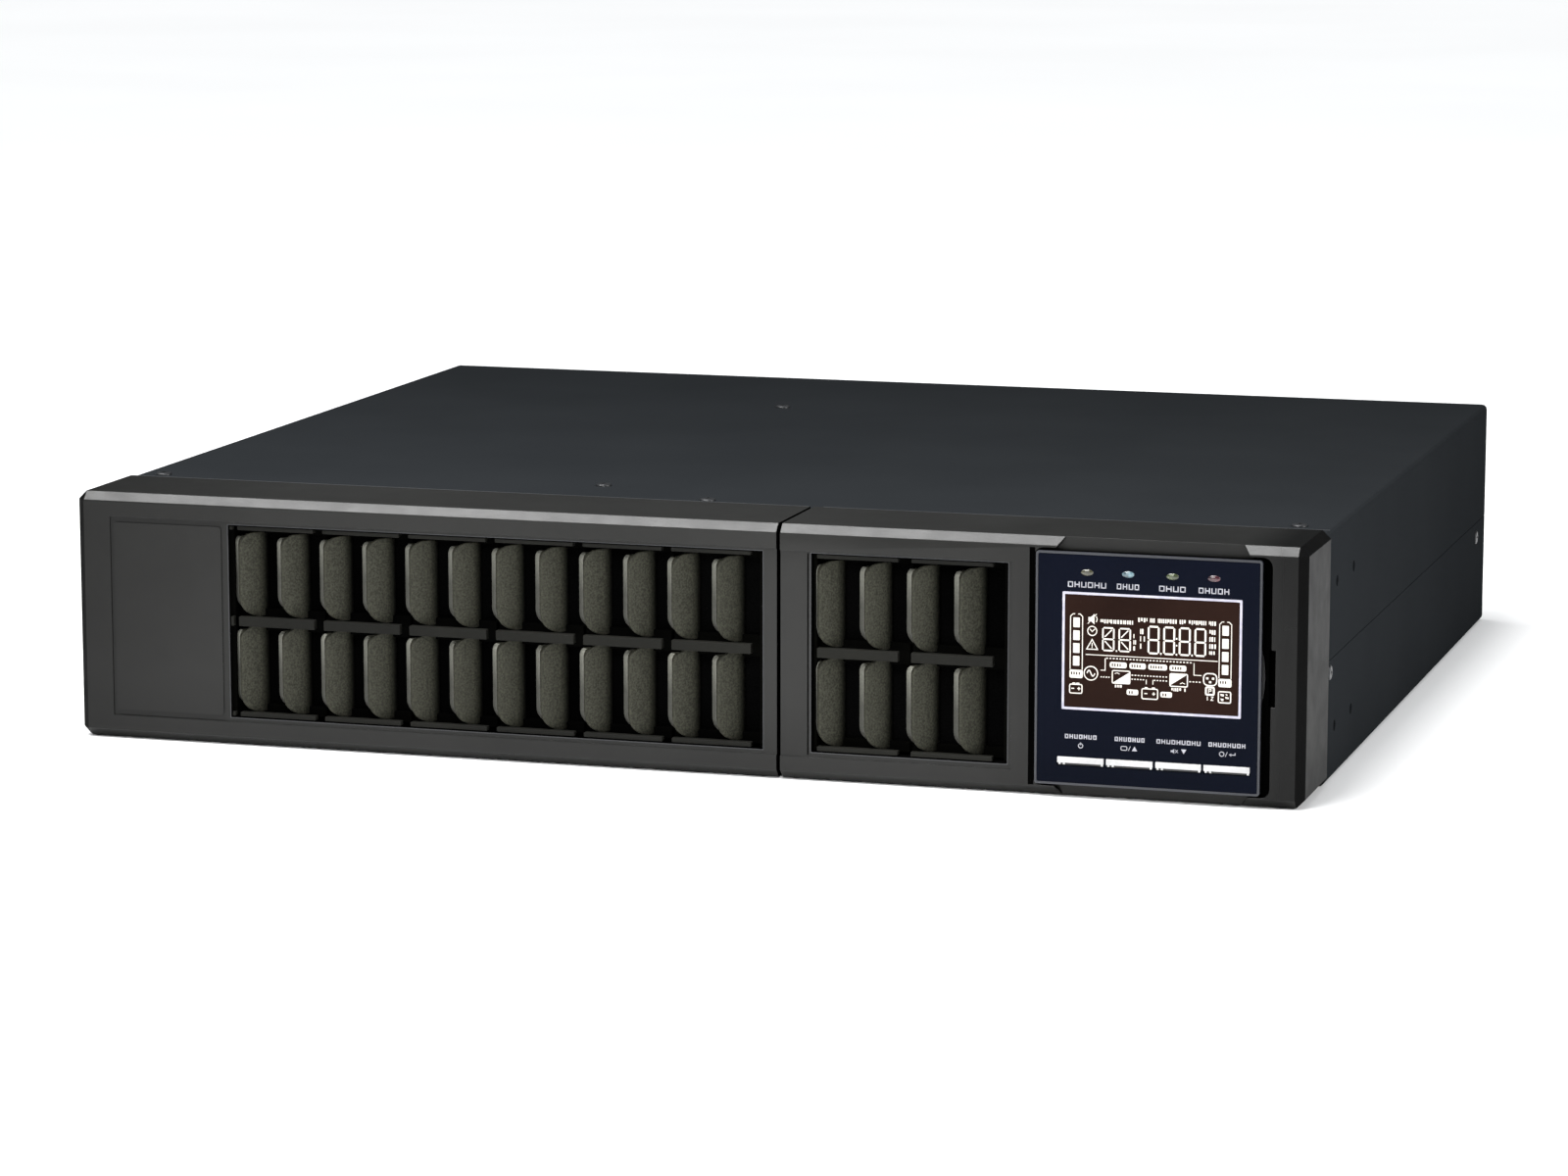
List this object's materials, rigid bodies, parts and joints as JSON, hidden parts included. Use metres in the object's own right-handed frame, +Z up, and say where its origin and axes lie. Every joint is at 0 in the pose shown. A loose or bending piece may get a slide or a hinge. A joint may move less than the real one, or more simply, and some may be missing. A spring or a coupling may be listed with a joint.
{
  "type": "uninterruptible power supply",
  "caption": "Low wide box in black steel for a rack or for standing on its side, with louvred front panels, a square display that pulls out and turns, and a battery pack that slides out.",
  "frame": {"origin": "middle of the underside, on the flat face that the unit lies on in rack use", "axes": "+X to the right as seen from the front, +Y from the front to the rear, +Z up; the display and the louvres face -Y"},
  "size_m": [0.44, 0.383, 0.088],
  "materials": {
    "black_steel": "fine satin powder coat, near black with a cool cast",
    "bezel_plastic": "fine-grained moulded black plastic",
    "louvre_plastic": "matt moulded plastic, dark olive grey",
    "filter_foam": "open-cell foam",
    "black_plastic": "moulded",
    "tinted_lens": "glossy, navy black",
    "screen_glass": "dark brown liquid-crystal panel with pale segments",
    "circuit_board": "solder resist",
    "silver_key": "silver-white",
    "light_guide": "clear domes, tinted by light",
    "tray_steel": "zinc-plated sheet",
    "bright_steel": "nickel-plated",
    "battery_case": "moulded battery case",
    "connector_grey": "moulded",
    "heat_sink": "extruded",
    "laminated_core": "varnished laminations with a taped winding",
    "copper_winding": "enamelled copper wire",
    "capacitor_sleeve": "shrink sleeve",
    "terminal_green": "moulded",
    "breaker_red": "moulded",
    "brass_stud": "plated"
  },
  "bodies": {
    "chassis": {"breaker": "black_plastic", "bus_capacitor_1": "capacitor_sleeve", "bus_capacitor_2": "capacitor_sleeve", "bus_capacitor_3": "capacitor_sleeve", "bus_capacitor_4": "capacitor_sleeve", "card_slot_cover": "black_steel", "chassis_base": "black_steel", "divider_wall": "black_steel", "earth_stud": "brass_stud", "fan_frame": "black_plastic", "fan_guard": "bright_steel", "filter_choke": "copper_winding", "front_bezel": "bezel_plastic", "front_plate": "black_steel", "heatsink_left": "heat_sink", "heatsink_right": "heat_sink", "intake_filter": "filter_foam", "intake_grille": "louvre_plastic", "line_jacks": "black_plastic", "main_board": "circuit_board", "mains_inlet": "black_plastic", "outlet_block_1": "black_plastic", "outlet_block_2": "black_plastic", "output_choke": "copper_winding", "pack_connector": "connector_grey", "rear_panel": "black_steel", "serial_port": "bright_steel", "stop_terminal": "terminal_green", "thumb_screw_1": "bright_steel", "thumb_screw_2": "bright_steel", "top_cover": "black_steel", "transformer": "laminated_core", "usb_port": "bright_steel"},
    "battery_tray": {"battery_tray": "tray_steel", "tray_front": "black_steel", "battery_strap": "tray_steel", "tray_handle": "bright_steel", "battery_1": "battery_case", "battery_2": "battery_case", "battery_3": "battery_case", "battery_4": "battery_case", "battery_connector": "connector_grey"},
    "battery_door": {"battery_door": "bezel_plastic", "blank_panel": "bezel_plastic", "door_grille": "louvre_plastic"},
    "display_carrier": {"display_carrier": "black_plastic"},
    "display_head": {"display_frame": "black_plastic", "display_lens": "tinted_lens", "display_screen": "screen_glass", "display_board": "circuit_board", "light_bypass": "light_guide", "light_line": "light_guide", "light_battery": "light_guide", "light_fault": "light_guide"},
    "key_off": {"key_off": "silver_key"},
    "key_test": {"key_test": "silver_key"},
    "key_mute": {"key_mute": "silver_key"},
    "key_on": {"key_on": "silver_key"},
    "fan_rotor": {"fan_rotor": "black_plastic"},
    "breaker_button": {"breaker_button": "breaker_red"}
  },
  "joints": [
    {"name": "battery_slide", "type": "slide", "parent": "chassis", "child": "battery_tray", "axis": [0, -1, 0], "range_m": [0, 0.3]},
    {"name": "door_pull", "type": "slide", "parent": "battery_tray", "child": "battery_door", "axis": [0, -1, 0], "range_m": [0, 0.06]},
    {"name": "display_pull", "type": "slide", "parent": "chassis", "child": "display_carrier", "axis": [0, -1, 0], "range_m": [0, 0.045]},
    {"name": "display_turn", "type": "hinge", "parent": "display_carrier", "child": "display_head", "pos_m": [0.1681, -0.19, 0.044], "axis": [0, 1, 0], "range_deg": [0, 90]},
    {"name": "fan_spin", "type": "hinge", "parent": "chassis", "child": "fan_rotor", "pos_m": [0.172, 0.1697, 0.0435], "axis": [0, 1, 0], "continuous": true},
    {"name": "breaker_press", "type": "slide", "parent": "chassis", "child": "breaker_button", "axis": [0, -1, 0], "range_m": [0, 0.0025], "stiffness_N_per_m": 600, "springref_m": -0.001},
    {"name": "key_off_press", "type": "slide", "parent": "display_head", "child": "key_off", "axis": [0, 1, 0], "range_m": [0, 0.0006], "stiffness_N_per_m": 800, "springref_m": -0.0004},
    {"name": "key_test_press", "type": "slide", "parent": "display_head", "child": "key_test", "axis": [0, 1, 0], "range_m": [0, 0.0006], "stiffness_N_per_m": 800, "springref_m": -0.0004},
    {"name": "key_mute_press", "type": "slide", "parent": "display_head", "child": "key_mute", "axis": [0, 1, 0], "range_m": [0, 0.0006], "stiffness_N_per_m": 800, "springref_m": -0.0004},
    {"name": "key_on_press", "type": "slide", "parent": "display_head", "child": "key_on", "axis": [0, 1, 0], "range_m": [0, 0.0006], "stiffness_N_per_m": 800, "springref_m": -0.0004}
  ],
  "couplings": [
    {"joint": "display_turn", "follows": "display_pull", "rad_per_m": 34.907}
  ]
}
